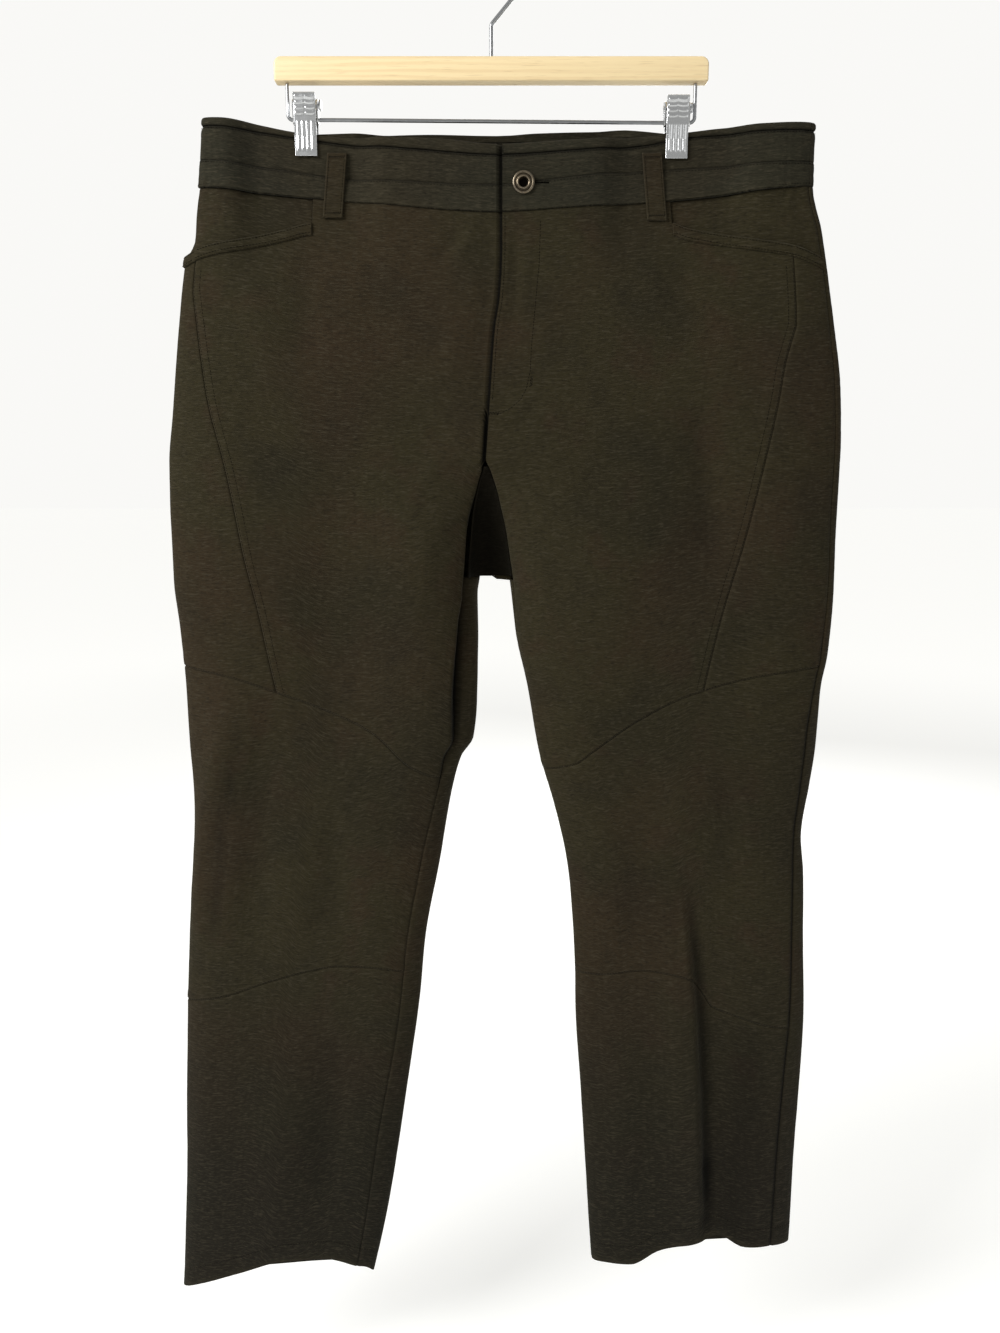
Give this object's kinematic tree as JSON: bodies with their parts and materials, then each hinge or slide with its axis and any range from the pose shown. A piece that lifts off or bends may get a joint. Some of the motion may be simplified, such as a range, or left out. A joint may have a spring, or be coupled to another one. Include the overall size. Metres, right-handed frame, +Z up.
{
  "type": "hiking pants on a clip hanger",
  "caption": "Full-length hiking pants, flat and clipped by the waist to a wooden hanger: open waist and hems, lapped fly, slanted pocket mouths and a shaped knee panel.",
  "frame": {"origin": "where a rail bears, inside the top of the hanger's hook", "axes": "+X to the wearer's left, -Y the front of the pants, +Z up"},
  "size_m": [0.606, 0.0537, 1.2059],
  "materials": {
    "olive_cloth": "matt dark olive stretch woven, heathered",
    "zip_tape": "matt dark tape",
    "antique_brass": "dulled brass with bright edges",
    "chrome_steel": "bright plated steel",
    "pale_wood": "clear satin lacquer"
  },
  "bodies": {
    "root": {"back_left": "olive_cloth", "back_right": "olive_cloth", "band_lower_back": "olive_cloth", "band_lower_left_front": "olive_cloth", "band_lower_right_front": "olive_cloth", "band_upper_back": "olive_cloth", "band_upper_left_front": "olive_cloth", "band_upper_right_front": "olive_cloth", "belt_loop_left_back": "olive_cloth", "belt_loop_left_front": "olive_cloth", "belt_loop_middle_back": "olive_cloth", "belt_loop_right_back": "olive_cloth", "belt_loop_right_front": "olive_cloth", "binding_back": "olive_cloth", "binding_left_front": "olive_cloth", "binding_right_front": "olive_cloth", "clip_back_jaw_left": "chrome_steel", "clip_back_jaw_right": "chrome_steel", "clip_ear_inner_left": "chrome_steel", "clip_ear_inner_right": "chrome_steel", "clip_ear_outer_left": "chrome_steel", "clip_ear_outer_right": "chrome_steel", "clip_front_jaw_left": "chrome_steel", "clip_front_jaw_right": "chrome_steel", "clip_spring_left": "chrome_steel", "clip_spring_right": "chrome_steel", "crotch_gusset": "olive_cloth", "fly_zip": "zip_tape", "front_thigh_left": "olive_cloth", "front_thigh_right": "olive_cloth", "hanger_bar": "pale_wood", "hanger_hook": "chrome_steel", "hanger_rod": "chrome_steel", "knee_left": "olive_cloth", "knee_right": "olive_cloth", "pocket_binding_left": "olive_cloth", "pocket_binding_right": "olive_cloth", "pocket_facing_left": "olive_cloth", "pocket_facing_right": "olive_cloth", "shin_left": "olive_cloth", "shin_right": "olive_cloth", "side_thigh_left": "olive_cloth", "side_thigh_right": "olive_cloth", "waist_button": "antique_brass"}
  },
  "joints": []
}
